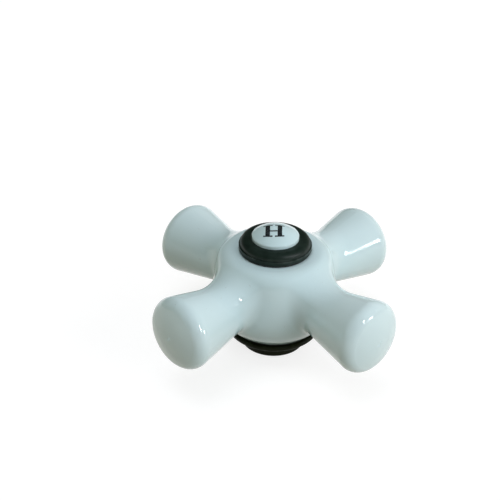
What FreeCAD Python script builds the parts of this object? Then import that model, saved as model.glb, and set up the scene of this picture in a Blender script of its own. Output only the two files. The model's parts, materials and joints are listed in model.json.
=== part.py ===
"""Porcelain cross handle for a tap.

A glazed cross with four flared arms is clamped between a metal stem insert below and a screw-in cap above.
Lengths are in millimetres. The handle turns about Z, with its underside at z = 0 and its arms along X and Y.
Radii grow outwards from the valve stem: each piece adds its own wall or clearance to the one inside it.
"""
import FreeCAD, Part
import Sketcher
import os

Vector = FreeCAD.Vector

# Driving sizes: name, value, meaning
SIZES = (
    ("arm_count", 4, "arms on the cross"),
    ("arm_reach", 38.0, "handle axis to the end of an arm"),
    ("arm_root_radius", 3.0, "radius of an arm's cone where it would meet the handle axis"),
    ("arm_tip_radius", 11.0, "radius of the same cone at the arm's reach"),
    ("arm_dome_radius", 20.5, "radius of the shallow dome that closes an arm"),
    ("arm_edge_round", 3.4, "rounding between the cone and its dome"),
    ("arm_height", 11.5, "axis of the arms above the porcelain's foot"),
    ("crown_height", 11.3, "seat of the cap above the axis of the arms"),
    ("hub_bulge", 4.9, "widest place of the hub outside the foot"),
    ("hub_height", 9.7, "widest place of the hub above the foot"),
    ("blend_above", 13.0, "hollow blend of arm and hub on top of an arm"),
    ("blend_beside", 3.0, "the same blend at the widest place of the hub"),
    ("blend_below", 2.5, "the same blend underneath an arm"),
    ("seat_margin", 1.8, "porcelain's flat seat outside the cap"),
    ("crown_round", 4.0, "rounding from the seat to the side of the hub"),
    ("foot_margin", 2.6, "porcelain's foot outside the key"),
    ("foot_round", 0.6, "glazed edge of the foot"),
    ("boss_wall", 2.4, "wall of the boss round the mouth"),
    ("boss_height", 4.3, "height of the boss"),
    ("flange_margin", 0.7, "flange outside the porcelain's foot"),
    ("flange_thickness", 1.4, "thickness of the flange"),
    ("base_round", 0.5, "rounding of the boss and flange edges"),
    ("spline_teeth", 20, "teeth in the stem socket"),
    ("spline_major_radius", 4.0, "floor of the spline's grooves, which fits the stem"),
    ("spline_depth", 0.45, "depth of the grooves"),
    ("spline_floor_width", 0.4, "width of a groove at its floor"),
    ("spline_mouth_width", 0.8, "width of a groove where its cutter starts"),
    ("spline_overrun", 0.3, "start of the groove cutter inside the crests"),
    ("mouth_margin", 2.2, "open mouth under the socket, outside the grooves"),
    ("mouth_depth", 2.6, "depth of the mouth"),
    ("mouth_chamfer", 0.4, "lead-in of the mouth"),
    ("web_thickness", 2.6, "web between the socket and the screw's head"),
    ("thread_depth", 10.3, "threaded bore above the web"),
    ("sleeve_wall", 1.75, "wall of the sleeve round the threaded bore"),
    ("sleeve_clearance", 0.3, "gap between the sleeve and the porcelain"),
    ("sleeve_drop", 1.0, "top of the sleeve below the porcelain's seat"),
    ("key_reach", 1.8, "key that stops the porcelain turning, outside the sleeve"),
    ("key_shoulder", 0.5, "flats of the key outside the sleeve"),
    ("key_height", 3.0, "key above the flange"),
    ("key_clearance", 0.25, "gap round and above the key"),
    ("screw_radius", 2.4, "shank of the handle screw"),
    ("screw_clearance", 0.3, "gap between the screw and the web"),
    ("screw_length", 8.5, "screw below its head"),
    ("screw_chamfer", 0.6, "point of the screw"),
    ("head_overhang", 1.5, "head of the screw outside its shank"),
    ("head_height", 2.6, "height of the head"),
    ("head_round", 1.2, "rounding of the head"),
    ("head_clearance", 0.4, "gap between the head and the cap's hollow shank"),
    ("drive_slots", 4, "arms of the cross recess in the head"),
    ("drive_reach", 2.0, "reach of those arms"),
    ("drive_width", 1.0, "width of an arm at the middle"),
    ("drive_end_width", 0.7, "width of an arm at its end"),
    ("drive_depth", 1.5, "depth of the cross recess"),
    ("gasket_thickness", 0.5, "both rubber cushions"),
    ("gasket_inset", 0.3, "edges of a cushion inside the pieces it parts"),
    ("ring_overlap", 2.05, "cap on the porcelain's seat, outside the bore"),
    ("ring_height", 3.1, "cap above its cushion"),
    ("ring_round", 1.8, "rounded top of the cap"),
    ("rim_width", 3.33, "rim of the cap round its cup"),
    ("band_height", 1.2, "upright band at the foot of the cap"),
    ("band_step", 0.35, "step from the band to the rounded top"),
    ("shank_wall", 1.2, "wall of the cap's threaded shank"),
    ("shank_length", 6.0, "length of that shank"),
    ("shank_chamfer", 0.5, "lead-in of that shank"),
    ("thread_clearance", 0.15, "gap between the shank and the threaded bore"),
    ("cup_floor", 1.2, "floor of the cup above the cushion"),
    ("button_clearance", 0.12, "gap between the button and its cup"),
    ("button_side", 2.7, "upright side of the button"),
    ("button_dome", 2.3, "rise of its dome"),
    ("button_round", 0.5, "edge between side and dome"),
    ("button_wall", 1.7, "rim round the recess for the cement"),
    ("button_recess", 0.7, "depth of that recess"),
)

# Radii, outwards from the stem, as sums of driving sizes
SPLINE_CREST = "spline_major_radius - spline_depth"
GROOVE_START = SPLINE_CREST + " - spline_overrun"
MOUTH_RADIUS = "spline_major_radius + mouth_margin"
BOSS_RADIUS = MOUTH_RADIUS + " + boss_wall"
HOLE_RADIUS = "screw_radius + screw_clearance"
HEAD_RADIUS = "screw_radius + head_overhang"
HOLLOW_RADIUS = HEAD_RADIUS + " + head_clearance"
SHANK_RADIUS = HOLLOW_RADIUS + " + shank_wall"
THREAD_RADIUS = SHANK_RADIUS + " + thread_clearance"
SLEEVE_RADIUS = THREAD_RADIUS + " + sleeve_wall"
BORE_RADIUS = SLEEVE_RADIUS + " + sleeve_clearance"
KEY_RADIUS = SLEEVE_RADIUS + " + key_reach"
KEY_FLAT = SLEEVE_RADIUS + " + key_shoulder"
FOOT_RADIUS = KEY_RADIUS + " + foot_margin"
FLANGE_RADIUS = FOOT_RADIUS + " + flange_margin"
HUB_RADIUS = FOOT_RADIUS + " + hub_bulge"
RING_RADIUS = BORE_RADIUS + " + ring_overlap"
CROWN_RADIUS = RING_RADIUS + " - band_step"
SEAT_RADIUS = RING_RADIUS + " + seat_margin"
CUP_RADIUS = RING_RADIUS + " - rim_width"
BUTTON_RADIUS = CUP_RADIUS + " - button_clearance"

# Heights of the stack, as sums of driving sizes
CROSS_HEIGHT = "arm_height + crown_height"
FLANGE_TOP = "boss_height + flange_thickness"
FOOT = FLANGE_TOP + " + gasket_thickness"
SEAT = FOOT + " + " + CROSS_HEIGHT
CAP_FOOT = SEAT + " + gasket_thickness"
SLEEVE_TOP = SEAT + " - sleeve_drop"
WEB_TOP = SLEEVE_TOP + " - thread_depth"
WEB_FOOT = WEB_TOP + " - web_thickness"
SOCKET_DEPTH = WEB_FOOT + " - mouth_depth"

FULL_TURN = 360
HALF_TURN = 180
EIGHTH_TURN = 45
ROUND_SHARE = 0.9
TOUCH = 1e-3

doc = FreeCAD.newDocument("CrossHandle")
sheet = doc.addObject("Spreadsheet::Sheet", "Sizes")
for row, (alias, value, meaning) in enumerate(SIZES, 1):
    sheet.set("A%d" % row, alias)
    sheet.set("B%d" % row, str(value))
    sheet.set("C%d" % row, meaning)
    sheet.setAlias("B%d" % row, alias)
doc.recompute()


def amount(formula):
    """Value of a sum such as 'boss_height + flange_thickness - key_clearance'."""
    total = 0.0
    sign = 1.0
    for word in formula.split():
        if word in ("+", "-"):
            sign = 1.0 if word == "+" else -1.0
        elif word != "0":
            total += sign * sheet.get(word)
    return total


def bound(formula):
    """The same sum, written for an expression that reads the sheet."""
    return " ".join("Sizes." + word if word[0].isalpha() else word for word in formula.split())


def new_body(label, height="0"):
    """Body in a frame of its own, raised to its place in the stack."""
    body = doc.addObject("PartDesign::Body", label)
    body.Label = label
    body.setExpression("Placement.Base.z", bound(height))
    return body


def new_sketch(body, name, plane, height="0"):
    """Sketch on an origin plane, lifted by height along that plane's normal."""
    sketch = body.newObject("Sketcher::SketchObject", name)
    support = [item for item in body.Origin.OriginFeatures if item.Role == plane][0]
    sketch.AttachmentSupport = (support, [""])
    sketch.MapMode = "FlatFace"
    sketch.setExpression("AttachmentOffset.Base.z", bound(height))
    return sketch


def relate(sketch, *terms):
    """Add one constraint and return its number."""
    return sketch.addConstraint(Sketcher.Constraint(*terms))


def measure(sketch, *terms):
    """Add one dimension; its last term is the sum of sizes that it follows."""
    number = relate(sketch, *terms[:-1], amount(terms[-1]))
    sketch.setExpression("Constraints[%d]" % number, bound(terms[-1]))


def hold_across(sketch, item, end, across):
    """Hold a point at its distance from the sketch's vertical axis."""
    if across == "0":
        relate(sketch, "PointOnObject", item, end, -2)
    else:
        measure(sketch, "DistanceX", -1, 1, item, end, across)


def hold_upward(sketch, item, end, upward):
    """Hold a point at its distance from the sketch's horizontal axis."""
    if upward == "0":
        relate(sketch, "PointOnObject", item, end, -1)
    else:
        measure(sketch, "DistanceY", -1, 1, item, end, upward)


def outline(sketch, corners, arcs=None):
    """Closed loop, run anticlockwise, through (across, upward) corners; arcs holds curves for some sides."""
    arcs = arcs or {}
    count = len(corners)
    points = [Vector(amount(across), amount(upward), 0) for across, upward in corners]
    for side in range(count):
        straight = Part.LineSegment(points[side], points[(side + 1) % count])
        sketch.addGeometry(arcs.get(side, straight), False)
    for side in range(count):
        relate(sketch, "Coincident", side, 2, (side + 1) % count, 1)
    for side, (across, upward) in enumerate(corners):
        before = side - 1
        straight_before = side > 0 and before not in arcs
        if straight_before and corners[before][0] == across:
            relate(sketch, "Vertical", before)
        else:
            hold_across(sketch, side, 1, across)
        if straight_before and corners[before][1] == upward:
            relate(sketch, "Horizontal", before)
        else:
            hold_upward(sketch, side, 1, upward)


def arc_about(centre, start, end):
    """Arc run anticlockwise from start to end."""
    rim = Part.Circle(centre, Vector(0, 0, 1), centre.distanceToPoint(start))
    return Part.ArcOfCircle(rim, rim.parameter(start), rim.parameter(end))


def turn(body, name, sketch, kind="Revolution", axis="V_Axis", angle=FULL_TURN, backwards=False):
    """Revolve a sketch about one of its axes, to add or to cut."""
    feature = body.newObject("PartDesign::" + kind, name)
    feature.Profile = sketch
    feature.ReferenceAxis = (sketch, [axis])
    feature.Angle = angle
    feature.Reversed = backwards
    return feature


def turned(label, height, corners, arcs=None):
    """Body turned from one upright section, raised to its place in the stack."""
    body = new_body(label, height)
    sketch = new_sketch(body, label + "_section", "XZ_Plane")
    outline(sketch, corners, arcs)
    turn(body, label + "_turned", sketch)
    return body


def repeat(body, name, originals, axis, count):
    """Copies of features spaced evenly round an axis of the first one's sketch."""
    pattern = body.newObject("PartDesign::PolarPattern", name)
    pattern.Originals = originals
    pattern.Axis = (originals[0].Profile[0], [axis])
    pattern.Angle = FULL_TURN
    pattern.setExpression("Occurrences", bound(count))
    body.Tip = pattern
    return pattern


def level_circles(shape, radius, height):
    """Numbers of the level circular edges with the given radius and height."""
    numbers = []
    for number, edge in enumerate(shape.Edges, 1):
        if edge.Degenerated or edge.Curve.TypeId != "Part::GeomCircle":
            continue
        level = abs(edge.Curve.Axis.z) > 1 - TOUCH
        wide = abs(edge.Curve.Radius - amount(radius)) < TOUCH
        high = abs(edge.Curve.Center.z - amount(height)) < TOUCH
        if level and wide and high:
            numbers.append(number)
    return numbers


def dress(body, name, kind, places, size, walls):
    """Fillet or Chamfer level edges at (radius, height) places, within what the walls beside them can carry.

    Each wall is a width with the number of dressed edges that share it.
    """
    doc.recompute()
    base = body.Tip
    numbers = []
    for radius, height in places:
        numbers += level_circles(base.Shape, radius, height)
    feature = body.newObject("PartDesign::" + kind, name)
    feature.Base = (base, ["Edge%d" % number for number in numbers])
    limits = ["%g * (%s)" % (ROUND_SHARE / sharing, bound(width)) for width, sharing in walls]
    sized_by = {"Fillet": "Radius", "Chamfer": "Size"}[kind]
    feature.setExpression(sized_by, "min(%s)" % "; ".join([bound(size)] + limits))


def raise_section(body, name, sketch, length):
    """Pad a level sketch upwards."""
    pad = body.newObject("PartDesign::Pad", name)
    pad.Profile = sketch
    pad.setExpression("Length", bound(length))


def key_section(body, name, height, radius, flat):
    """Level sketch of a round key with two parallel flats."""
    sketch = new_sketch(body, name, "XY_Plane", height)
    y = amount(flat)
    x = (amount(radius) ** 2 - y ** 2) ** 0.5
    middle = Vector(0, 0, 0)
    corners = [Vector(x, -y, 0), Vector(x, y, 0), Vector(-x, y, 0), Vector(-x, -y, 0)]
    sketch.addGeometry(arc_about(middle, corners[0], corners[1]), False)
    sketch.addGeometry(Part.LineSegment(corners[1], corners[2]), False)
    sketch.addGeometry(arc_about(middle, corners[2], corners[3]), False)
    sketch.addGeometry(Part.LineSegment(corners[3], corners[0]), False)
    for side in range(4):
        relate(sketch, "Coincident", side, 2, (side + 1) % 4, 1)
    for arc in (0, 2):
        relate(sketch, "Coincident", arc, 3, -1, 1)
    for line in (1, 3):
        relate(sketch, "Horizontal", line)
    measure(sketch, "Radius", 0, radius)
    measure(sketch, "DistanceY", -1, 1, 1, 1, flat)
    relate(sketch, "Symmetric", 1, 1, 3, 1, -1, 1)
    return sketch


def wedge_cut(body, name, height, near, far, depth, upwards):
    """Pocket with a tapered outline; near and far hold a distance from the axis and a width."""
    sketch = new_sketch(body, name + "_section", "XY_Plane", height)
    near_x, near_y = amount(near[0]), amount(near[1]) / 2
    far_x, far_y = amount(far[0]), amount(far[1]) / 2
    corners = [Vector(near_x, -near_y, 0), Vector(far_x, -far_y, 0)]
    corners += [Vector(far_x, far_y, 0), Vector(near_x, near_y, 0)]
    for side in range(4):
        sketch.addGeometry(Part.LineSegment(corners[side], corners[(side + 1) % 4]), False)
    for side in range(4):
        relate(sketch, "Coincident", side, 2, (side + 1) % 4, 1)
    relate(sketch, "Symmetric", 0, 1, 2, 2, -1)
    relate(sketch, "Symmetric", 0, 2, 2, 1, -1)
    hold_across(sketch, 0, 1, near[0])
    hold_across(sketch, 0, 2, far[0])
    measure(sketch, "DistanceY", 0, 1, 2, 2, near[1])
    measure(sketch, "DistanceY", 0, 2, 2, 1, far[1])
    pocket = body.newObject("PartDesign::Pocket", name)
    pocket.Profile = sketch
    pocket.setExpression("Length", bound(depth))
    pocket.Reversed = upwards
    return pocket


def hub_body():
    """Barrel hub with a rounded crown, and the seam of its turned faces half-way between two arms."""
    body = new_body("cross_blank", FOOT)
    sketch = new_sketch(body, "hub_section", "XZ_Plane")
    between_arms = FreeCAD.Rotation(Vector(0, 1, 0), EIGHTH_TURN)
    sketch.AttachmentOffset = FreeCAD.Placement(Vector(0, 0, 0), between_arms)
    crown = amount("crown_round")
    middle = Vector(0, 0, 0)
    foot = Vector(amount(FOOT_RADIUS), 0, 0)
    widest = Vector(amount(HUB_RADIUS), amount("hub_height"), 0)
    top = Vector(0, amount(CROSS_HEIGHT), 0)
    seat = Vector(amount(SEAT_RADIUS), top.y, 0)
    belly_radius = (foot - widest).Length ** 2 / (2 * (widest.x - foot.x))
    belly_centre = widest - Vector(belly_radius, 0, 0)
    crown_centre = seat - Vector(0, crown, 0)
    lean = widest - crown_centre
    wall_radius = (lean.Length ** 2 - crown ** 2) / (2 * (lean.x - crown))
    wall_centre = widest - Vector(wall_radius, 0, 0)
    shoulder = crown_centre + (crown_centre - wall_centre).normalize() * crown
    sketch.addGeometry(Part.LineSegment(middle, foot), False)
    sketch.addGeometry(arc_about(belly_centre, foot, widest), False)
    sketch.addGeometry(arc_about(wall_centre, widest, shoulder), False)
    sketch.addGeometry(arc_about(crown_centre, shoulder, seat), False)
    sketch.addGeometry(Part.LineSegment(seat, top), False)
    sketch.addGeometry(Part.LineSegment(top, middle), False)
    for first, second in ((0, 1), (4, 5), (5, 0)):
        relate(sketch, "Coincident", first, 2, second, 1)
    for first, second in ((1, 2), (2, 3), (3, 4)):
        relate(sketch, "Tangent", first, 2, second, 1)
    relate(sketch, "Coincident", 0, 1, -1, 1)
    hold_across(sketch, 0, 2, FOOT_RADIUS)
    hold_upward(sketch, 0, 2, "0")
    hold_across(sketch, 2, 1, HUB_RADIUS)
    hold_upward(sketch, 2, 1, "hub_height")
    relate(sketch, "Horizontal", 1, 3, 1, 2)
    measure(sketch, "Radius", 3, "crown_round")
    hold_across(sketch, 4, 1, SEAT_RADIUS)
    hold_upward(sketch, 4, 1, CROSS_HEIGHT)
    relate(sketch, "Horizontal", 4)
    hold_across(sketch, 5, 1, "0")
    turn(body, "hub_turned", sketch)
    return body


def arm_section(body):
    """Half section of an arm above its own axis: cone, rounded edge and shallow end dome."""
    sketch = new_sketch(body, "arm_section", "XZ_Plane")
    sketch.setExpression("AttachmentOffset.Base.y", bound("arm_height"))
    reach = amount("arm_reach")
    dome = amount("arm_dome_radius")
    tip = amount("arm_tip_radius")
    edge = amount("arm_edge_round")
    middle = Vector(0, 0, 0)
    end = Vector(reach, 0, 0)
    root = Vector(0, amount("arm_root_radius"), 0)
    dome_centre = Vector(reach - dome, 0, 0)
    dome_top = dome_centre + Vector((dome ** 2 - (tip - edge) ** 2) ** 0.5, tip - edge, 0)
    edge_centre = dome_top - Vector(edge, 0, 0)
    shoulder = edge_centre + Vector(0, edge, 0)
    sketch.addGeometry(Part.LineSegment(middle, end), False)
    sketch.addGeometry(arc_about(dome_centre, end, dome_top), False)
    sketch.addGeometry(arc_about(edge_centre, dome_top, shoulder), False)
    sketch.addGeometry(Part.LineSegment(shoulder, root), False)
    sketch.addGeometry(Part.LineSegment(root, middle), False)
    sketch.addGeometry(Part.Point(Vector(reach, tip, 0)), True)
    for first, second in ((0, 1), (3, 4), (4, 0)):
        relate(sketch, "Coincident", first, 2, second, 1)
    for first, second in ((1, 2), (2, 3)):
        relate(sketch, "Tangent", first, 2, second, 1)
    relate(sketch, "Coincident", 0, 1, -1, 1)
    hold_across(sketch, 0, 2, "arm_reach")
    hold_upward(sketch, 0, 2, "0")
    relate(sketch, "PointOnObject", 1, 3, -1)
    measure(sketch, "Radius", 1, "arm_dome_radius")
    measure(sketch, "Radius", 2, "arm_edge_round")
    hold_across(sketch, 4, 1, "0")
    hold_upward(sketch, 4, 1, "arm_root_radius")
    hold_across(sketch, 5, 1, "arm_reach")
    hold_upward(sketch, 5, 1, "arm_tip_radius")
    relate(sketch, "PointOnObject", 5, 1, 3)
    return sketch


def between(stations, height):
    """Value at a height, on straight lines from one (height, value) station to the next."""
    for (low, first), (high, last) in zip(stations, stations[1:]):
        if height <= high + TOUCH:
            return first + (last - first) * (height - low) / (high - low)


def glazed_edges(shape):
    """Rows of edge number, radius at its start and radius at its end for the blank's edges."""
    roots = []
    for number, edge in enumerate(shape.Edges, 1):
        if not edge.Degenerated and edge.Curve.TypeId == "Part::GeomBSplineCurve":
            roots.append((number, edge.firstVertex(True).Point.z, edge.lastVertex(True).Point.z))
    heights = [height for root in roots for height in root[1:]]
    stations = (
        (min(heights), amount("blend_below")),
        (amount(FOOT) + amount("hub_height"), amount("blend_beside")),
        (max(heights), amount("blend_above")),
    )
    rows = [(number, between(stations, start), between(stations, end)) for number, start, end in roots]
    for number in level_circles(shape, FOOT_RADIUS, FOOT):
        rows.append((number, amount("foot_round"), amount("foot_round")))
    return rows


def make_cross():
    """Glazed cross: barrel hub, arms as two half cones each, blends that open out above the arms."""
    blank = hub_body()
    section = arm_section(blank)
    left = turn(blank, "arm_left_half", section, axis="H_Axis", angle=HALF_TURN)
    right = turn(blank, "arm_right_half", section, axis="H_Axis", angle=HALF_TURN, backwards=True)
    arms = repeat(blank, "arms", [left, right], "V_Axis", "arm_count")
    for feature in (left, right, arms):
        feature.Refine = False
    doc.recompute()
    glazed = doc.addObject("Part::Fillet", "glazed_blank")
    glazed.Base = blank
    glazed.Edges = glazed_edges(blank.Shape)
    bore = [("0", "0"), (BORE_RADIUS, "0"), (BORE_RADIUS, CROSS_HEIGHT), ("0", CROSS_HEIGHT)]
    core = turned("cross_core", FOOT, bore)
    grown_radius = KEY_RADIUS + " + key_clearance"
    grown_flat = KEY_FLAT + " + key_clearance"
    recess = key_section(core, "recess_section", "0", grown_radius, grown_flat)
    raise_section(core, "key_recess", recess, "key_height - gasket_thickness + key_clearance")
    cross = doc.addObject("Part::Cut", "porcelain_cross")
    cross.Base = glazed
    cross.Tool = core
    return cross


def make_insert():
    """Metal base with its sleeve, key, splined socket, web and threaded bore."""
    outside = [
        ("0", "0"), (BOSS_RADIUS, "0"), (BOSS_RADIUS, "boss_height"),
        (FLANGE_RADIUS, "boss_height"), (FLANGE_RADIUS, FLANGE_TOP),
        (SLEEVE_RADIUS, FLANGE_TOP), (SLEEVE_RADIUS, SLEEVE_TOP), ("0", SLEEVE_TOP),
    ]
    inside = [
        ("0", "0"), (MOUTH_RADIUS, "0"), (MOUTH_RADIUS, "mouth_depth"),
        (SPLINE_CREST, "mouth_depth"), (SPLINE_CREST, WEB_FOOT),
        (HOLE_RADIUS, WEB_FOOT), (HOLE_RADIUS, WEB_TOP),
        (THREAD_RADIUS, WEB_TOP), (THREAD_RADIUS, SLEEVE_TOP), ("0", SLEEVE_TOP),
    ]
    body = turned("stem_insert", "0", outside)
    key = key_section(body, "key_section", FLANGE_TOP, KEY_RADIUS, KEY_FLAT)
    raise_section(body, "key", key, "key_height")
    steps = new_sketch(body, "bore_steps", "XZ_Plane")
    outline(steps, inside)
    turn(body, "bores", steps, kind="Groove")
    edges = [(BOSS_RADIUS, "0"), (FLANGE_RADIUS, "boss_height"), (FLANGE_RADIUS, FLANGE_TOP)]
    dress(body, "base_edges", "Fillet", edges, "base_round", [("flange_thickness", 2), ("boss_wall", 2)])
    walls = [("boss_wall", 2), ("mouth_depth", 1)]
    dress(body, "mouth_lead", "Chamfer", [(MOUTH_RADIUS, "0")], "mouth_chamfer", walls)
    near = (GROOVE_START, "spline_mouth_width")
    far = ("spline_major_radius", "spline_floor_width")
    groove = wedge_cut(body, "spline_groove", "mouth_depth", near, far, SOCKET_DEPTH, True)
    repeat(body, "spline", [groove], "N_Axis", "spline_teeth")
    return body


def make_cap():
    """Screw-in cap: hollow shank, upright band, rounded top and a cup for the button."""
    under = "shank_length"
    band = under + " + band_height"
    top = under + " + ring_height"
    floor = under + " + cup_floor"
    corners = [
        (HOLLOW_RADIUS, "0"), (SHANK_RADIUS, "0"), (SHANK_RADIUS, under),
        (RING_RADIUS, under), (RING_RADIUS, band), (CROWN_RADIUS, band), (CROWN_RADIUS, top),
        (CUP_RADIUS, top), (CUP_RADIUS, floor), ("0", floor), ("0", under), (HOLLOW_RADIUS, under),
    ]
    body = turned("cap_ring", CAP_FOOT + " - shank_length", corners)
    walls = [("ring_height - band_height", 1), ("rim_width - band_step", 1)]
    dress(body, "rounded_top", "Fillet", [(CROWN_RADIUS, top)], "ring_round", walls)
    dress(body, "shank_lead", "Chamfer", [(SHANK_RADIUS, "0")], "shank_chamfer", [("shank_wall", 1)])
    return body


def make_button():
    """Domed button with a shallow recess underneath."""
    recess_radius = BUTTON_RADIUS + " - button_wall"
    top = "button_side + button_dome"
    corners = [
        ("0", "button_recess"), (recess_radius, "button_recess"), (recess_radius, "0"), (BUTTON_RADIUS, "0"),
        (BUTTON_RADIUS, "button_side"), ("0", top),
    ]
    rise = amount("button_dome")
    rim = Vector(amount(BUTTON_RADIUS), amount("button_side"), 0)
    peak = Vector(0, amount(top), 0)
    centre = peak - Vector(0, (rim.x ** 2 + rise ** 2) / (2 * rise), 0)
    body = turned("index_button", CAP_FOOT + " + cup_floor", corners, {4: arc_about(centre, rim, peak)})
    relate(body.Tip.Profile[0], "PointOnObject", 4, 3, -2)
    walls = [("button_side", 1), ("button_dome", 1)]
    dress(body, "button_edge", "Fillet", [(BUTTON_RADIUS, "button_side")], "button_round", walls)
    return body


def make_screw():
    """Pan-head screw that holds the handle on the stem."""
    under = "screw_length"
    top = under + " + head_height"
    corners = [
        ("0", "0"), ("screw_radius", "0"), ("screw_radius", under),
        (HEAD_RADIUS, under), (HEAD_RADIUS, top), ("0", top),
    ]
    body = turned("handle_screw", WEB_TOP + " - screw_length", corners)
    walls = [("head_height", 1), (HEAD_RADIUS + " - drive_reach", 1)]
    dress(body, "head_edge", "Fillet", [(HEAD_RADIUS, top)], "head_round", walls)
    dress(body, "screw_point", "Chamfer", [("screw_radius", "0")], "screw_chamfer", [("screw_radius", 1)])
    near = ("0", "drive_width")
    far = ("drive_reach", "drive_end_width")
    slot = wedge_cut(body, "drive_slot", top, near, far, "drive_depth", False)
    repeat(body, "drive_cross", [slot], "N_Axis", "drive_slots")
    return body


def make_gasket(label, height, inner, outer):
    """Flat rubber cushion."""
    thick = "gasket_thickness"
    return turned(label, height, [(inner, "0"), (outer, "0"), (outer, thick), (inner, thick)])


pieces = [
    make_insert(),
    make_gasket("lower_gasket", FLANGE_TOP, KEY_RADIUS + " + gasket_inset", FOOT_RADIUS + " - gasket_inset"),
    make_cross(),
    make_gasket("upper_gasket", SEAT, SHANK_RADIUS + " + gasket_inset", RING_RADIUS + " - gasket_inset"),
    make_screw(),
    make_cap(),
    make_button(),
]
doc.recompute()

for item in doc.Objects:
    if "Invalid" in item.State or "Error" in item.State:
        raise RuntimeError(item.Label + " did not build")
for piece in pieces:
    if piece.Shape.isNull() or not piece.Shape.isValid():
        raise RuntimeError(piece.Label + " is not a valid solid")

os.makedirs("parts", exist_ok=True)
for piece in pieces:
    piece.Shape.exportStep("parts/%s.step" % piece.Label)
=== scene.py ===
# %% [markdown]
# # Porcelain cross handle for a tap
# This lesson dresses a finished engineering model. The model holds every solid piece of the handle at
# its real size: the glazed cross, the black cap and base, two rubber cushions, the hidden screw and the
# domed button. Here each piece gets its finish, the button gets its letter, the two threads get their
# ridges, and a small studio is built around the handle. All lengths in Blender are in metres.

# %% Load the frame
import json
import math

import bmesh
import bpy
from mathutils import Matrix, Vector

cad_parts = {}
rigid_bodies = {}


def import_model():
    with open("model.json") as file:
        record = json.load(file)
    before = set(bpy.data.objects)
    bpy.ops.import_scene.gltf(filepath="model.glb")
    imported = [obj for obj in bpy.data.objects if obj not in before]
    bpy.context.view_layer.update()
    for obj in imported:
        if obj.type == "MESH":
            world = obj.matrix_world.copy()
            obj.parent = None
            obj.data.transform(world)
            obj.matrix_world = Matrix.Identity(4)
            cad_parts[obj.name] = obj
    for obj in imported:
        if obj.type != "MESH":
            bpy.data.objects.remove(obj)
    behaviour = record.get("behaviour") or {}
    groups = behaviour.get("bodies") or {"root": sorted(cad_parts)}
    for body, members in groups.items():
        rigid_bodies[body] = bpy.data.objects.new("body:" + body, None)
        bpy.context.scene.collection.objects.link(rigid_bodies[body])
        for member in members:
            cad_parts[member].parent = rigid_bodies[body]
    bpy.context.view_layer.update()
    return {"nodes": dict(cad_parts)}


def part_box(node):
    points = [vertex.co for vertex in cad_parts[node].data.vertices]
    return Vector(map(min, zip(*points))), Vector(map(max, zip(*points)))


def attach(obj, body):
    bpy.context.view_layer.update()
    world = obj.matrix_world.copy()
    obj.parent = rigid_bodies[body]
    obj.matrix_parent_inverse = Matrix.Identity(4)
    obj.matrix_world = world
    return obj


for leftover in list(bpy.data.objects):
    bpy.data.objects.remove(leftover)
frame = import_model()
nodes = frame["nodes"]
MM = 0.001
print("frame nodes:", ", ".join(sorted(nodes)))

# %% [markdown]
# ## Helpers for node trees
# Materials and geometry trees are both graphs of nodes, and each node could be added and wired by hand.
# Short helpers keep the graphs readable instead. One adds a node and fills its sockets. Three more add
# a sum, a smooth change of range and a mix of two colours. The last one opens a group with named inputs
# and outputs. A Mix node keeps sockets for every kind of value, so those for colours go by their place.

# %% Node helpers
MIX_FACTOR = 0
MIX_FIRST = 6
MIX_SECOND = 7
MIX_RESULT = 2


def place(tree, kind, sockets=None, **settings):
    """Add a node. A socket in the sockets table is linked, and any other value is written in."""
    node = tree.nodes.new(kind)
    for name, value in settings.items():
        setattr(node, name, value)
    for key, value in (sockets or {}).items():
        if isinstance(value, bpy.types.NodeSocket):
            tree.links.new(value, node.inputs[key])
        else:
            node.inputs[key].default_value = value
    return node


def sums(tree, operation, first, second=0.0, third=0.0):
    """One Math node; returns its result."""
    terms = {0: first, 1: second, 2: third}
    return place(tree, "ShaderNodeMath", terms, operation=operation).outputs[0]


def remap(tree, value, low, high, to_low=0.0, to_high=1.0):
    """Smooth change from one range to another; returns the result."""
    ranges = {"Value": value, "From Min": low, "From Max": high, "To Min": to_low, "To Max": to_high}
    return place(tree, "ShaderNodeMapRange", ranges, interpolation_type="SMOOTHSTEP").outputs["Result"]


def tint(tree, factor, first, second):
    """Mix of two colours; returns the colour."""
    colours = {MIX_FACTOR: factor, MIX_FIRST: first, MIX_SECOND: second}
    return place(tree, "ShaderNodeMix", colours, data_type="RGBA").outputs[MIX_RESULT]


print("node helpers are ready")


# %% Group helper
def open_group(name, kind, inputs, outputs):
    """New node group; returns the tree, the sockets that values come in by and those they leave by."""
    tree = bpy.data.node_groups.new(name, kind)
    for label, socket_type, value in inputs:
        socket = tree.interface.new_socket(name=label, in_out="INPUT", socket_type=socket_type)
        if value is not None:
            socket.default_value = value
    for label, socket_type in outputs:
        tree.interface.new_socket(name=label, in_out="OUTPUT", socket_type=socket_type)
    entry = tree.nodes.new("NodeGroupInput")
    exit_node = tree.nodes.new("NodeGroupOutput")
    return tree, entry.outputs, exit_node.inputs


print("group helper is ready")
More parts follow.
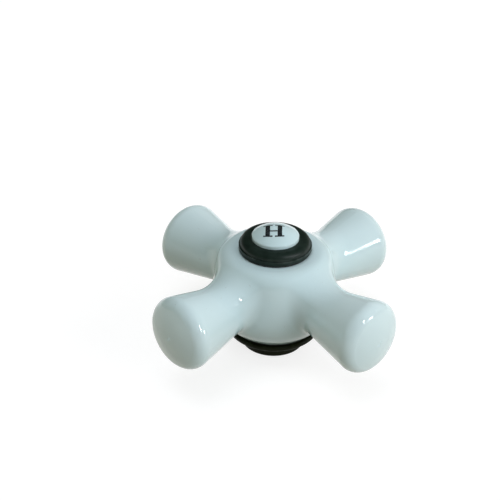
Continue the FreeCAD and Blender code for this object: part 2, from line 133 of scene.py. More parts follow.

# %% [markdown]
# ## Effects that the finishes share
# Nothing on a real handle is perfectly even. Fired glaze, blackened brass, rubber and steel all drift
# a little in tone, so one group makes soft clouds for them all. The cap, the base and the screw come
# off a lathe, which leaves fine rings round the axis: a second group draws these from the distance to
# the axis. A third group finds a band round a turned edge, where fingers and cloths rub the black finish
# thin. On the cap's crease the same band is also a painted highlight, a light line where the edge
# catches the light.

# %% Soft clouds
FLOAT = "NodeSocketFloat"
clouds, came_in, goes_out = open_group(
    "soft_clouds", "ShaderNodeTree",
    [("Scale", FLOAT, 120.0), ("Detail", FLOAT, 3.0), ("Low", FLOAT, 0.35), ("High", FLOAT, 0.65)],
    [("Mask", FLOAT)],
)
spot = place(clouds, "ShaderNodeTexCoord").outputs["Object"]
noise = place(clouds, "ShaderNodeTexNoise", {
    "Vector": spot, "Scale": came_in["Scale"], "Detail": came_in["Detail"]})
mask = remap(clouds, noise.outputs["Fac"], came_in["Low"], came_in["High"])
clouds.links.new(mask, goes_out["Mask"])
print(clouds.name, "is a group of", len(clouds.nodes), "nodes")

# %% Lathe rings
RING_NOISE = {"Scale": 1.0, "Detail": 2.0}
DRIFT_NOISE = {"Scale": 350.0, "Detail": 2.0}
lathe, came_in, goes_out = open_group(
    "lathe_rings", "ShaderNodeTree",
    [("Spacing", FLOAT, 0.25 * MM), ("Unevenness", FLOAT, 0.5)],
    [("Height", FLOAT), ("Radius", FLOAT), ("Level", FLOAT)],
)
spot = place(lathe, "ShaderNodeTexCoord").outputs["Object"]
axes = place(lathe, "ShaderNodeSeparateXYZ", {"Vector": spot}).outputs
flat = place(lathe, "ShaderNodeCombineXYZ", {"X": axes["X"], "Y": axes["Y"]}).outputs["Vector"]
radius = place(lathe, "ShaderNodeVectorMath", {0: flat}, operation="LENGTH").outputs["Value"]
travel = sums(lathe, "ADD", radius, axes["Z"])
turns = sums(lathe, "DIVIDE", travel, came_in["Spacing"])
streaks = place(lathe, "ShaderNodeTexNoise", {"W": turns, **RING_NOISE}, noise_dimensions="1D")
drift = place(lathe, "ShaderNodeTexNoise", {"Vector": spot, **DRIFT_NOISE}).outputs["Fac"]
uneven = sums(lathe, "MULTIPLY", drift, came_in["Unevenness"])
height = sums(lathe, "ADD", streaks.outputs["Fac"], uneven)
for label, result in (("Height", height), ("Radius", radius), ("Level", axes["Z"])):
    lathe.links.new(result, goes_out[label])
print(lathe.name, "is a group of", len(lathe.nodes), "nodes")

# %% Rubbed edge and painted highlight
# A band round one turned edge: worn brass, and on the cap's crease also a painted highlight.
RUB_AND_HIGHLIGHT_CORE = 0.3
rub_and_highlight, came_in, goes_out = open_group(
    "rub_and_highlight_edge", "ShaderNodeTree",
    [("Radius", FLOAT, 0.0), ("Level", FLOAT, 0.0), ("Edge Radius", FLOAT, 9.0 * MM),
     ("Edge Level", FLOAT, 30.0 * MM), ("Width", FLOAT, 0.3 * MM)],
    [("Mask", FLOAT)],
)
across = sums(rub_and_highlight, "SUBTRACT", came_in["Radius"], came_in["Edge Radius"])
upward = sums(rub_and_highlight, "SUBTRACT", came_in["Level"], came_in["Edge Level"])
across_squared = sums(rub_and_highlight, "MULTIPLY", across, across)
upward_squared = sums(rub_and_highlight, "MULTIPLY", upward, upward)
gap = sums(rub_and_highlight, "SQRT", sums(rub_and_highlight, "ADD", across_squared, upward_squared))
near = sums(rub_and_highlight, "DIVIDE", gap, came_in["Width"])
mask = remap(rub_and_highlight, near, RUB_AND_HIGHLIGHT_CORE, 1.0, 1.0, 0.0)
rub_and_highlight.links.new(mask, goes_out["Mask"])
print(rub_and_highlight.name, "is a group of", len(rub_and_highlight.nodes), "nodes")

# %% [markdown]
# ## White glaze
# The cross and the button are porcelain under a clear, cool glaze. The glaze runs while it is hot: it
# gathers in the hollows round the hub, where it looks bluer, and thins on the ends of the arms. A few
# dark pinpricks stay in it. Inside the bore the clay is bare, so it is warmer and dull. These places
# could be painted by hand, but distance from the axis already tells them apart. The gloss is the
# shader's own reflection, with a slow ripple in the normal, because no glaze dries dead flat.


# %% Finish helpers
def new_finish(name):
    """Empty material with its Principled shader wired to the output."""
    finish = bpy.data.materials.new(name)
    finish.use_nodes = True
    tree = finish.node_tree
    tree.nodes.clear()
    shader = place(tree, "ShaderNodeBsdfPrincipled")
    place(tree, "ShaderNodeOutputMaterial", {"Surface": shader.outputs["BSDF"]})
    return finish, tree, shader


def use_group(tree, group, sockets):
    """Place a shader group; returns its outputs."""
    return place(tree, "ShaderNodeGroup", sockets, node_tree=group).outputs


def cloudy(tree, pattern):
    """Soft clouds with the pattern's values; returns their mask."""
    return use_group(tree, clouds, pattern)["Mask"]


def ruffle(tree, shader, height, strength, depth):
    """Let a height that changes over the surface ruffle the shader's normal."""
    bump = place(tree, "ShaderNodeBump", {"Height": height, "Strength": strength, "Distance": depth})
    tree.links.new(bump.outputs["Normal"], shader.inputs["Normal"])


print("finish helpers are ready")

# %% Sizes and colours of the glaze
THIN_GLAZE = (0.645, 0.785, 0.800, 1.0)
DEEP_GLAZE = (0.566, 0.730, 0.755, 1.0)
BARE_CLAY = (0.70, 0.66, 0.58, 1.0)
PINPRICK = (0.30, 0.27, 0.22, 1.0)
HUB_EDGE = 10.0 * MM
ARM_MIDDLE = 30.0 * MM
BORE_EDGE = 7.75 * MM
BORE_FADE = 0.15 * MM
BELOW_BUTTON = 29.2 * MM
IN_BUTTON = 29.4 * MM
GLAZE_DRIFT = {"Scale": 55.0, "Detail": 2.0, "Low": 0.3, "High": 0.7}
GLAZE_PINPRICKS = {"Scale": 1800.0, "Detail": 0.0, "Low": 0.85, "High": 0.89}
GLAZE_RIPPLE = {"Scale": 160.0, "Detail": 1.0, "Low": 0.0, "High": 1.0}
DRIFT_SHARE = 0.35
POOL_SHARE = 0.65
PINPRICK_SHARE = 0.3
GLAZE_ROUGHNESS = (0.06, 0.10)
CLAY_DULLNESS = 0.5
RIPPLE_STRENGTH = 0.15
RIPPLE_DEPTH = 0.05 * MM
GLAZE_IOR = 1.52
print("the clay is bare within", round(BORE_EDGE / MM, 2), "mm of the axis")

# %% White glaze material
white_glaze, tree, shader = new_finish("white_glaze")
axis = use_group(tree, lathe, {})
pooled = remap(tree, axis["Radius"], HUB_EDGE, ARM_MIDDLE, 1.0, 0.0)
drifted = cloudy(tree, GLAZE_DRIFT)
pooled_part = sums(tree, "MULTIPLY", pooled, POOL_SHARE)
depth = sums(tree, "MULTIPLY_ADD", drifted, DRIFT_SHARE, pooled_part)
glaze_colour = tint(tree, depth, THIN_GLAZE, DEEP_GLAZE)
specks = sums(tree, "MULTIPLY", cloudy(tree, GLAZE_PINPRICKS), PINPRICK_SHARE)
speckled = tint(tree, specks, glaze_colour, PINPRICK)
in_bore = remap(tree, axis["Radius"], BORE_EDGE, BORE_EDGE + BORE_FADE, 1.0, 0.0)
under_button = remap(tree, axis["Level"], BELOW_BUTTON, IN_BUTTON, 1.0, 0.0)
bare = sums(tree, "MULTIPLY", in_bore, under_button)
tree.links.new(tint(tree, bare, speckled, BARE_CLAY), shader.inputs["Base Color"])
gloss = remap(tree, drifted, 0.0, 1.0, *GLAZE_ROUGHNESS)
tree.links.new(sums(tree, "MULTIPLY_ADD", bare, CLAY_DULLNESS, gloss), shader.inputs["Roughness"])
ruffle(tree, shader, cloudy(tree, GLAZE_RIPPLE), RIPPLE_STRENGTH, RIPPLE_DEPTH)
shader.inputs["IOR"].default_value = GLAZE_IOR
print(white_glaze.name, "covers the cross and the button")

# %% [markdown]
# ## Blackened brass
# The cap and the base are turned brass with a satin black finish. The cap's black is faintly green and
# handled daily; the base sits out of reach, so its black is duller, browner and less rubbed. The two
# materials could be wired one by one, but one function makes both, so that they stay alike. Lathe rings
# show through as fine changes of gloss, and on the turned edges the black is worn to a bronze grey, in
# broken stretches. On the cap's crease this grey band is wider and is also a painted highlight: a light
# line where the edge catches the light. The finish is a dark, fairly rough coat rather than bare metal,
# since the black hides the brass.

# %% Worn edges of the black pieces, with a painted highlight on the cap's crease
ring_low, ring_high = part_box("cap_ring")
base_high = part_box("stem_insert")[1]
RING_RADIUS = ring_high.x
BASE_RADIUS = base_high.x
CREASE_BELOW_TOP = 1.9 * MM
LIP_WIDTH = 3.33 * MM
BOSS_HEIGHT = 4.3 * MM
FLANGE_TOP = 5.7 * MM
# The crease band is partly wear and partly a painted highlight of the edge catching the light.
CREASE_RUB_AND_HIGHLIGHT = 0.7 * MM
CUP_RUB = 0.35 * MM
BASE_RUB = 0.5 * MM
cap_edges = (
    (RING_RADIUS, ring_high.z - CREASE_BELOW_TOP, CREASE_RUB_AND_HIGHLIGHT),
    (RING_RADIUS - LIP_WIDTH, ring_high.z, CUP_RUB),
)
base_edges = (
    (BASE_RADIUS, FLANGE_TOP, BASE_RUB),
    (BASE_RADIUS, BOSS_HEIGHT, BASE_RUB),
)
print("the cap's crease is", round(RING_RADIUS / MM, 2), "mm from the axis")

# %% Colours and textures of the black pieces
CAP_DEEP = (0.0047, 0.0120, 0.0083, 1.0)
CAP_PALE = (0.0100, 0.0205, 0.0154, 1.0)
CAP_SPECULAR = 0.20
# The cap's share covers the wear on its rim and the painted highlight on its crease.
CAP_RUB_AND_HIGHLIGHT = 0.7
BASE_DEEP = (0.0060, 0.0078, 0.0022, 1.0)
BASE_PALE = (0.0110, 0.0138, 0.0048, 1.0)
BASE_SPECULAR = 0.06
BASE_RUBBED = 0.14
# Bronze grey of worn edges; on the cap's crease it is also a painted highlight.
RUBBED_BRASS_AND_HIGHLIGHT = (0.052, 0.068, 0.060, 1.0)
BRASS_RINGS = {"Spacing": 0.22 * MM, "Unevenness": 0.6}
BLACK_MOTTLE = {"Scale": 420.0, "Detail": 4.0, "Low": 0.3, "High": 0.7}
RUB_AND_HIGHLIGHT_PATCHES = {"Scale": 260.0, "Detail": 3.0, "Low": 0.35, "High": 0.62}
BRASS_RING_HEIGHTS = (0.4, 1.2)
SATIN_ROUGHNESS = (0.34, 0.46)
RUBBED_SMOOTHER = -0.08
BRASS_RING_STRENGTH = 0.25
BRASS_RING_DEPTH = 0.02 * MM
print("share of the black rubbed off: cap", CAP_RUB_AND_HIGHLIGHT, "and base", BASE_RUBBED)


# %% Blackened brass materials
def blackened(name, deep, pale, edges, rub_and_highlight_share, specular):
    """Satin black over turned brass, bronze grey along (radius, level, width) edges: wear, and a painted
    highlight on the cap's crease.
    """
    finish, tree, shader = new_finish(name)
    rings = use_group(tree, lathe, BRASS_RINGS)
    wear_and_highlight = None
    for edge_radius, edge_level, width in edges:
        sockets = {"Radius": rings["Radius"], "Level": rings["Level"],
                   "Edge Radius": edge_radius, "Edge Level": edge_level, "Width": width}
        mask = use_group(tree, rub_and_highlight, sockets)["Mask"]
        wear_and_highlight = mask if wear_and_highlight is None else sums(tree, "MAXIMUM", wear_and_highlight, mask)
    wear_and_highlight = sums(tree, "MULTIPLY", wear_and_highlight, cloudy(tree, RUB_AND_HIGHLIGHT_PATCHES))
    black = tint(tree, cloudy(tree, BLACK_MOTTLE), deep, pale)
    bared_wear_and_highlight = sums(tree, "MULTIPLY", wear_and_highlight, rub_and_highlight_share)
    # Bronze grey on the edge bands: wear, and on the cap's crease a painted highlight.
    tree.links.new(tint(tree, bared_wear_and_highlight, black, RUBBED_BRASS_AND_HIGHLIGHT), shader.inputs["Base Color"])
    satin = remap(tree, rings["Height"], *BRASS_RING_HEIGHTS, *SATIN_ROUGHNESS)
    smoother = sums(tree, "MULTIPLY_ADD", wear_and_highlight, RUBBED_SMOOTHER, satin)
    tree.links.new(smoother, shader.inputs["Roughness"])
    ruffle(tree, shader, rings["Height"], BRASS_RING_STRENGTH, BRASS_RING_DEPTH)
    shader.inputs["Specular IOR Level"].default_value = specular
    print(name, "has", len(edges), "rubbed edges")
    return finish


black_cap = blackened("black_cap", CAP_DEEP, CAP_PALE, cap_edges, CAP_RUB_AND_HIGHLIGHT, CAP_SPECULAR)
black_base = blackened("black_base", BASE_DEEP, BASE_PALE, base_edges, BASE_RUBBED, BASE_SPECULAR)

# %% [markdown]
# ## Rubber, steel and fired enamel
# The two cushions are black rubber with a fine moulded grain. The screw is plain steel with lathe
# rings. The letter on the button is dark enamel, fired on with the glaze, so it is almost as glossy as
# the porcelain round it. Each could be one flat colour, but the shared clouds and rings are at hand and
# keep small pieces from looking like plastic.

# %% Rubber material
RUBBER_DARK = (0.012, 0.012, 0.012, 1.0)
RUBBER_PALE = (0.030, 0.030, 0.029, 1.0)
RUBBER_GRAIN = {"Scale": 2500.0, "Detail": 2.0, "Low": 0.3, "High": 0.7}
RUBBER_DUST = {"Scale": 300.0, "Detail": 4.0, "Low": 0.4, "High": 0.7}
RUBBER_ROUGHNESS = (0.62, 0.78)
GRAIN_STRENGTH = 0.3
GRAIN_DEPTH = 0.03 * MM
black_rubber, tree, shader = new_finish("black_rubber")
grain = cloudy(tree, RUBBER_GRAIN)
dusty = tint(tree, cloudy(tree, RUBBER_DUST), RUBBER_DARK, RUBBER_PALE)
tree.links.new(dusty, shader.inputs["Base Color"])
tree.links.new(remap(tree, grain, 0.0, 1.0, *RUBBER_ROUGHNESS), shader.inputs["Roughness"])
ruffle(tree, shader, grain, GRAIN_STRENGTH, GRAIN_DEPTH)
print(black_rubber.name, "covers both cushions")

# %% Steel material
STEEL_DARK = (0.36, 0.36, 0.355, 1.0)
STEEL_PALE = (0.58, 0.575, 0.56, 1.0)
STEEL_RINGS = {"Spacing": 0.12 * MM, "Unevenness": 0.4}
STEEL_STAIN = {"Scale": 380.0, "Detail": 4.0, "Low": 0.35, "High": 0.65}
STEEL_RING_HEIGHTS = (0.3, 1.1)
STEEL_ROUGHNESS = (0.22, 0.40)
STEEL_RING_STRENGTH = 0.3
STEEL_RING_DEPTH = 0.02 * MM
bright_steel, tree, shader = new_finish("bright_steel")
rings = use_group(tree, lathe, STEEL_RINGS)
stained = tint(tree, cloudy(tree, STEEL_STAIN), STEEL_DARK, STEEL_PALE)
tree.links.new(stained, shader.inputs["Base Color"])
brushed = remap(tree, rings["Height"], *STEEL_RING_HEIGHTS, *STEEL_ROUGHNESS)
tree.links.new(brushed, shader.inputs["Roughness"])
ruffle(tree, shader, rings["Height"], STEEL_RING_STRENGTH, STEEL_RING_DEPTH)
shader.inputs["Metallic"].default_value = 1.0
print(bright_steel.name, "covers the screw")

# %% Enamel material
ENAMEL_DARK = (0.013, 0.018, 0.020, 1.0)
ENAMEL_PALE = (0.038, 0.046, 0.050, 1.0)
ENAMEL_STREAKS = {"Scale": 1100.0, "Detail": 3.0, "Low": 0.45, "High": 0.8}
ENAMEL_ROUGHNESS = (0.09, 0.16)
dark_enamel, tree, shader = new_finish("dark_enamel")
streaky = cloudy(tree, ENAMEL_STREAKS)
tree.links.new(tint(tree, streaky, ENAMEL_DARK, ENAMEL_PALE), shader.inputs["Base Color"])
tree.links.new(remap(tree, streaky, 0.0, 1.0, *ENAMEL_ROUGHNESS), shader.inputs["Roughness"])
print(dark_enamel.name, "is for the letter")

# %% [markdown]
# ## Dressing the solids
# On the real handle each piece is of one stuff all over, fired, turned or moulded. A mesh could carry
# several materials, face by face, but here one material for each mesh is enough.

# %% Dress the solid pieces
finish_of = {
    "porcelain_cross": white_glaze, "index_button": white_glaze,
    "cap_ring": black_cap, "stem_insert": black_base,
    "lower_gasket": black_rubber, "upper_gasket": black_rubber,
    "handle_screw": bright_steel,
}
for name, finish in finish_of.items():
    mesh = nodes[name].data
    mesh.materials.clear()
    mesh.materials.append(finish)
print("dressed", len(finish_of), "solid pieces")

# %% [markdown]
# ## The letter on the button
# The button tells hot from cold by one capital letter with slab feet. It reads upright from between two
# arms. It could be painted in the material, but a thin raised shape survives every export. The letter
# is drawn flat as a set of rectangles that share their edges, and cut finely. The ends of its foot are
# lifted a little, so that the foot looks straight on the dome. A Shrinkwrap modifier then presses it
# straight down on the dome, and Solidify gives it the thickness of a coat of enamel.

# %% Letter sizes
VIEW_AZIMUTH = math.radians(44.215)
LETTER_SIDE = -0.46 * MM
LETTER_FOOT = -3.70 * MM
LETTER_TOP = 1.40 * MM
BAR_FOOT = -1.84 * MM
BAR_TOP = -1.40 * MM
SLAB = 0.42 * MM
STEM_IN = 1.00 * MM
STEM_OUT = 2.20 * MM
SLAB_IN = 0.30 * MM
SLAB_OUT = 2.78 * MM
FOOT_LIFT = 0.5 * MM
LETTER_CUTS = 5
MERGE_GAP = 0.001 * MM
ABOVE_BUTTON = 40.0 * MM


def letter_parts():
    """Rectangles of the letter as (left, right, foot, top)."""
    low_slab_top = LETTER_FOOT + SLAB
    high_slab_foot = LETTER_TOP - SLAB
    levels = (low_slab_top, BAR_FOOT, BAR_TOP, high_slab_foot)
    for side in (-1, 1):
        edges = [side * edge for edge in (SLAB_IN, STEM_IN, STEM_OUT, SLAB_OUT)]
        for foot, top in ((LETTER_FOOT, low_slab_top), (high_slab_foot, LETTER_TOP)):
            for left, right in zip(edges, edges[1:]):
                yield left, right, foot, top
        for foot, top in zip(levels, levels[1:]):
            yield side * STEM_IN, side * STEM_OUT, foot, top
    yield -STEM_IN, STEM_IN, BAR_FOOT, BAR_TOP


print("the letter is", round((LETTER_TOP - LETTER_FOOT) / MM, 2), "mm tall")

# %% Draw the letter flat
drawn = bmesh.new()
for left, right, foot, top in letter_parts():
    low, high = sorted((left, right))
    corners = ((low, foot), (high, foot), (high, top), (low, top))
    drawn.faces.new([drawn.verts.new((x, y, ABOVE_BUTTON)) for x, y in corners])
bmesh.ops.remove_doubles(drawn, verts=drawn.verts, dist=MERGE_GAP)
bmesh.ops.subdivide_edges(drawn, edges=drawn.edges, cuts=LETTER_CUTS, use_grid_fill=True)
for corner in drawn.verts:
    low_share = (LETTER_TOP - corner.co.y) / (LETTER_TOP - LETTER_FOOT)
    corner.co.y += FOOT_LIFT * low_share * (corner.co.x / SLAB_OUT) ** 2
    corner.co.x += LETTER_SIDE
upright_turn = Matrix.Rotation(VIEW_AZIMUTH, 3, "Z")
bmesh.ops.rotate(drawn, verts=drawn.verts, cent=(0, 0, 0), matrix=upright_turn)
flat_letter = bpy.data.meshes.new("flat_letter")
drawn.to_mesh(flat_letter)
drawn.free()
print("flat letter faces:", len(flat_letter.polygons))


# %% Press the letter on the dome
def finished(draft, name, finish):
    """Turn a draft object with modifiers into a plain mesh object with one material."""
    evaluated = draft.evaluated_get(bpy.context.evaluated_depsgraph_get())
    mesh = bpy.data.meshes.new_from_object(evaluated)
    bpy.data.objects.remove(draft)
    mesh.name = name
    mesh.materials.clear()
    mesh.materials.append(finish)
    piece = bpy.data.objects.new(name, mesh)
    bpy.context.scene.collection.objects.link(piece)
    return piece


ENAMEL_COAT = 0.04 * MM
COAT_OFFSET = 0.5
draft = bpy.data.objects.new("letter_draft", flat_letter)
bpy.context.scene.collection.objects.link(draft)
press = draft.modifiers.new("press", "SHRINKWRAP")
press.target = nodes["index_button"]
press.wrap_method = "PROJECT"
press.use_project_z = True
press.use_positive_direction = False
press.use_negative_direction = True
coat = draft.modifiers.new("coat", "SOLIDIFY")
coat.thickness = ENAMEL_COAT
coat.offset = COAT_OFFSET
index_mark = finished(draft, "index_mark", dark_enamel)
print("letter faces:", len(index_mark.data.polygons))

# %% [markdown]
# ## Threads
# The cap screws into the base, and the screw bites into the valve stem. A thread could be copied turn
# by turn, but it is a ridge that climbs a cylinder at a steady pitch. That is a rule, so one geometry
# tree makes both: a spiral carries a small kite-shaped profile, half of it sunk in the shank. The
# tree's inputs are the sizes a maker would ask for.

# %% Thread tree
STEPS_PER_TURN = 40
KITE_SHARE = 0.8
ridge, came_in, goes_out = open_group(
    "thread_ridge", "GeometryNodeTree",
    [("Shank Radius", FLOAT, 2.4 * MM), ("Start", FLOAT, 0.0), ("Length", FLOAT, 5.0 * MM),
     ("Pitch", FLOAT, 0.8 * MM), ("Ridge", FLOAT, 0.2 * MM), ("Finish", "NodeSocketMaterial", None)],
    [("Geometry", "NodeSocketGeometry")],
)
turns = sums(ridge, "DIVIDE", came_in["Length"], came_in["Pitch"])
spiral = place(ridge, "GeometryNodeCurveSpiral", {
    "Resolution": STEPS_PER_TURN, "Rotations": turns, "Start Radius": came_in["Shank Radius"],
    "End Radius": came_in["Shank Radius"], "Height": came_in["Length"]})
upright = place(ridge, "GeometryNodeSetCurveNormal", {"Curve": spiral.outputs["Curve"]}, mode="Z_UP")
kite = place(ridge, "GeometryNodeCurvePrimitiveQuadrilateral", {
    "Width": sums(ridge, "MULTIPLY", came_in["Pitch"], KITE_SHARE),
    "Bottom Height": came_in["Ridge"], "Top Height": came_in["Ridge"]}, mode="KITE")
swept = place(ridge, "GeometryNodeCurveToMesh", {
    "Curve": upright.outputs["Curve"], "Profile Curve": kite.outputs["Curve"], "Fill Caps": True})
lift = place(ridge, "ShaderNodeCombineXYZ", {"Z": came_in["Start"]}).outputs["Vector"]
raised = place(ridge, "GeometryNodeTransform", {
    "Geometry": swept.outputs["Mesh"], "Translation": lift})
real = place(ridge, "GeometryNodeRealizeInstances", {"Geometry": raised.outputs["Geometry"]})
finished_ridge = place(ridge, "GeometryNodeSetMaterial", {
    "Geometry": real.outputs["Geometry"], "Material": came_in["Finish"]})
ridge.links.new(finished_ridge.outputs["Geometry"], goes_out["Geometry"])
ridge_inputs = [item for item in ridge.interface.items_tree if item.in_out == "INPUT"]
ridge_keys = {item.name: item.identifier for item in ridge_inputs}
print("a thread asks for:", ", ".join(ridge_keys))


# %% Cut both threads
def cut_thread(name, finish, sizes):
    """One thread ridge, turned into a plain mesh."""
    draft = bpy.data.objects.new(name + "_draft", bpy.data.meshes.new(name + "_draft"))
    bpy.context.scene.collection.objects.link(draft)
    climb = draft.modifiers.new("climb", "NODES")
    climb.node_group = ridge
    for label, value in {**sizes, "Finish": finish}.items():
        climb[ridge_keys[label]] = value
    piece = finished(draft, name, finish)
    reach = max(vertex.co.xy.length for vertex in piece.data.vertices)
    faces = len(piece.data.polygons)
    print(name, "reaches", round(reach / MM, 2), "mm from the axis in", faces, "faces")
    return piece


screw_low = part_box("handle_screw")[0]
SCREW_POINT = 0.8 * MM
CAP_LEAD = 0.7 * MM
SCREW_SIZES = {"Shank Radius": 2.4 * MM, "Start": screw_low.z + SCREW_POINT, "Length": 6.8 * MM,
               "Pitch": 0.8 * MM, "Ridge": 0.22 * MM}
CAP_SIZES = {"Shank Radius": 5.5 * MM, "Start": ring_low.z + CAP_LEAD, "Length": 4.6 * MM,
             "Pitch": 1.0 * MM, "Ridge": 0.12 * MM}
screw_thread = cut_thread("screw_thread", bright_steel, SCREW_SIZES)
cap_thread = cut_thread("cap_thread", black_cap, CAP_SIZES)

# %% [markdown]
# ## Fixing the new pieces
# The letter and the threads are part of the handle and turn with it. They could be joined to the solids,
# but as pieces of their own they keep their names, so each one rides on the handle's only body.

# %% Fix the new pieces to the handle
for piece, slot in ((index_mark, None), (screw_thread, "bright_screw"), (cap_thread, "black_metal")):
    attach(piece, "root")
    print(piece.name, "rides on the handle")

# %% [markdown]
# ## Studio
# The handle stands on a pale floor. To the camera and to reflections the floor is white, with a pale
# shadow; to the bounced light it is a warm grey, as a table is. Large soft lamps stand round the handle,
# most of them on the right, and model its roundness. The glaze would mirror them as broad white patches,
# so they are kept out of reflections. Three small window panes do the opposite: only the gloss sees
# them, and they make its short glints.

# %% Floor
FLOOR_HALF = 4.0
FLOOR_DROP = 0.1 * MM
drawn = bmesh.new()
bmesh.ops.create_grid(drawn, x_segments=1, y_segments=1, size=FLOOR_HALF,
                      matrix=Matrix.Translation((0, 0, -FLOOR_DROP)))
floor_mesh = bpy.data.meshes.new("floor")
drawn.to_mesh(floor_mesh)
drawn.free()
floor = bpy.data.objects.new("floor", floor_mesh)
bpy.context.scene.collection.objects.link(floor)
print("the floor is", 2 * FLOOR_HALF, "m wide")

# %% Floor material
FLOOR_GREY = (0.34, 0.325, 0.235, 1.0)
FLOOR_WHITE = (0.30, 0.30, 0.30, 1.0)
FLOOR_GLOW = 0.80
pale_floor = bpy.data.materials.new("pale_floor")
pale_floor.use_nodes = True
tree = pale_floor.node_tree
tree.nodes.clear()
path = place(tree, "ShaderNodeLightPath").outputs
direct = sums(tree, "MAXIMUM", path["Is Camera Ray"], path["Is Glossy Ray"])
seen = sums(tree, "MAXIMUM", direct, path["Is Transmission Ray"])
table = place(tree, "ShaderNodeBsdfDiffuse", {"Color": FLOOR_GREY}).outputs["BSDF"]
shadowed = place(tree, "ShaderNodeBsdfDiffuse", {"Color": FLOOR_WHITE}).outputs["BSDF"]
glow = place(tree, "ShaderNodeEmission", {"Strength": FLOOR_GLOW}).outputs["Emission"]
white = place(tree, "ShaderNodeAddShader", {0: shadowed, 1: glow}).outputs["Shader"]
both = place(tree, "ShaderNodeMixShader", {0: seen, 1: table, 2: white}).outputs["Shader"]
place(tree, "ShaderNodeOutputMaterial", {"Surface": both})
floor.data.materials.append(pale_floor)
print(pale_floor.name, "is white to the camera and grey to the bounced light")


# %% Room light
def toward(azimuth, elevation):
    """Unit vector; azimuth 0 points along -Y and 90 along +X, in degrees."""
    turn = math.radians(azimuth)
    rise = math.radians(elevation)
    level_reach = math.cos(rise)
    return Vector((math.sin(turn) * level_reach, -math.cos(turn) * level_reach, math.sin(rise)))


ROOM_DIM = (0.062, 0.066, 0.045, 1.0)
ROOM_BRIGHT = (0.16, 0.16, 0.155, 1.0)
ROOM_TOP = (0.12, 0.13, 0.135, 1.0)
BRIGHT_SIDE = toward(112.0, 14.0)
CEILING = (0.3, 1.0)
world = bpy.data.worlds.new("room")
world.use_nodes = True
tree = world.node_tree
tree.nodes.clear()
direction = place(tree, "ShaderNodeTexCoord").outputs["Generated"]
facing = place(tree, "ShaderNodeVectorMath", {0: direction, 1: BRIGHT_SIDE}, operation="DOT_PRODUCT")
side = remap(tree, facing.outputs["Value"], -1.0, 1.0)
high = place(tree, "ShaderNodeSeparateXYZ", {"Vector": direction}).outputs["Z"]
overhead = remap(tree, high, *CEILING)
walls = tint(tree, side, ROOM_DIM, ROOM_BRIGHT)
room = place(tree, "ShaderNodeBackground", {"Color": tint(tree, overhead, walls, ROOM_TOP)})
place(tree, "ShaderNodeOutputWorld", {"Surface": room.outputs["Background"]})
bpy.context.scene.world = world
print("the room is brighter on the right")

# %% Lamps and window panes
ARMS_LEVEL = 17.7 * MM
AIM = Vector((0, 0, ARMS_LEVEL))
LAMP_DISTANCE = 1.2
DAYLIGHT = (0.92, 0.95, 1.0)
LAMPLIGHT = (1.0, 0.98, 0.70)
TABLE_LIGHT = (1.0, 0.78, 0.60)
# Each row: name, azimuth, elevation, width, height, watts, colour, and whether only the gloss sees it.
LAMPS = (
    ("tall_pane", 92.0, 31.0, 0.063, 0.31, 4.5, DAYLIGHT, True),
    ("dim_pane", 106.8, 15.0, 0.094, 0.17, 0.25, DAYLIGHT, True),
    ("bright_pane", 114.6, 15.0, 0.19, 0.19, 2.8, DAYLIGHT, True),
    ("right_low", 85.0, 8.0, 0.6, 0.6, 2.2, DAYLIGHT, False),
    ("right", 99.0, 23.0, 0.6, 0.6, 5.9, DAYLIGHT, False),
    ("right_side", 134.0, 15.0, 0.6, 0.6, 2.9, DAYLIGHT, False),
    ("right_back", 168.0, 18.0, 0.8, 0.8, 3.3, TABLE_LIGHT, False),
    ("back", 219.0, 18.0, 0.8, 0.8, 3.5, DAYLIGHT, False),
    ("left", 314.0, 20.0, 0.8, 0.8, 1.6, LAMPLIGHT, False),
    ("front", 50.0, 45.0, 0.6, 0.6, 1.2, DAYLIGHT, False),
    ("above", 314.0, 80.0, 0.8, 0.8, 5.4, DAYLIGHT, False),
)
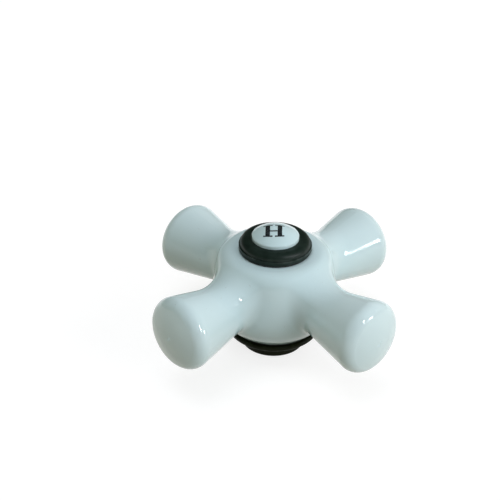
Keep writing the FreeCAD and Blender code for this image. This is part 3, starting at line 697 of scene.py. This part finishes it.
for name, azimuth, elevation, width, tall, watts, colour, mirrored in LAMPS:
    lamp = bpy.data.lights.new(name, "AREA")
    lamp.shape = "RECTANGLE"
    lamp.size = width
    lamp.size_y = tall
    lamp.energy = watts
    lamp.color = colour
    holder = bpy.data.objects.new(name, lamp)
    holder.location = AIM + toward(azimuth, elevation) * LAMP_DISTANCE
    holder.rotation_euler = toward(azimuth, elevation).to_track_quat("Z", "Y").to_euler()
    holder.visible_glossy = mirrored
    holder.visible_diffuse = not mirrored
    bpy.context.scene.collection.objects.link(holder)
print("lamps:", len(LAMPS))

# %% [markdown]
# ## Camera
# The camera looks down on the handle from between two arms with a long lens. Its place was found by
# matching the outline of the solids to the picture's. The handle is not in the middle of the picture.
# The lens could be shifted for that, but the camera is turned a little off the handle instead, because
# a turn looks right from other sides too.

# %% Turn of the camera
VIEW_ELEVATION = 32.748
VIEW_ROLL = math.radians(1.526)
PICTURE = 500.0
FOCAL_PIXELS = 1421.4
AIM_PIXEL = (274.18, 284.71)
back = toward(math.degrees(VIEW_AZIMUTH), VIEW_ELEVATION)
level = Vector((math.cos(VIEW_AZIMUTH), math.sin(VIEW_AZIMUTH), 0))
above = back.cross(level)
right = level * math.cos(VIEW_ROLL) + above * math.sin(VIEW_ROLL)
up = back.cross(right)
offset_right = (AIM_PIXEL[0] - PICTURE / 2) / FOCAL_PIXELS
offset_up = -(AIM_PIXEL[1] - PICTURE / 2) / FOCAL_PIXELS
turned_back = (back + right * offset_right + up * offset_up).normalized()
turned_right = (right - turned_back * right.dot(turned_back)).normalized()
turned_up = turned_back.cross(turned_right)
camera_turn = Matrix((turned_right, turned_up, turned_back)).transposed().to_4x4()
print("the camera turns", round(math.degrees(back.angle(turned_back)), 2), "degrees off the handle")

# %% Camera
VIEW_DISTANCE = 384.27 * MM
SENSOR = 36.0
NEAR_CLIP = 0.01
FAR_CLIP = 20.0
camera_data = bpy.data.cameras.new("camera")
camera_data.sensor_width = SENSOR
camera_data.lens = SENSOR * FOCAL_PIXELS / PICTURE
camera_data.clip_start = NEAR_CLIP
camera_data.clip_end = FAR_CLIP
camera = bpy.data.objects.new("camera", camera_data)
camera.matrix_world = Matrix.Translation(AIM + back * VIEW_DISTANCE) @ camera_turn
bpy.context.scene.collection.objects.link(camera)
bpy.context.scene.camera = camera
bpy.context.scene.view_settings.view_transform = "Standard"
print("lens", round(camera_data.lens, 1), "mm")
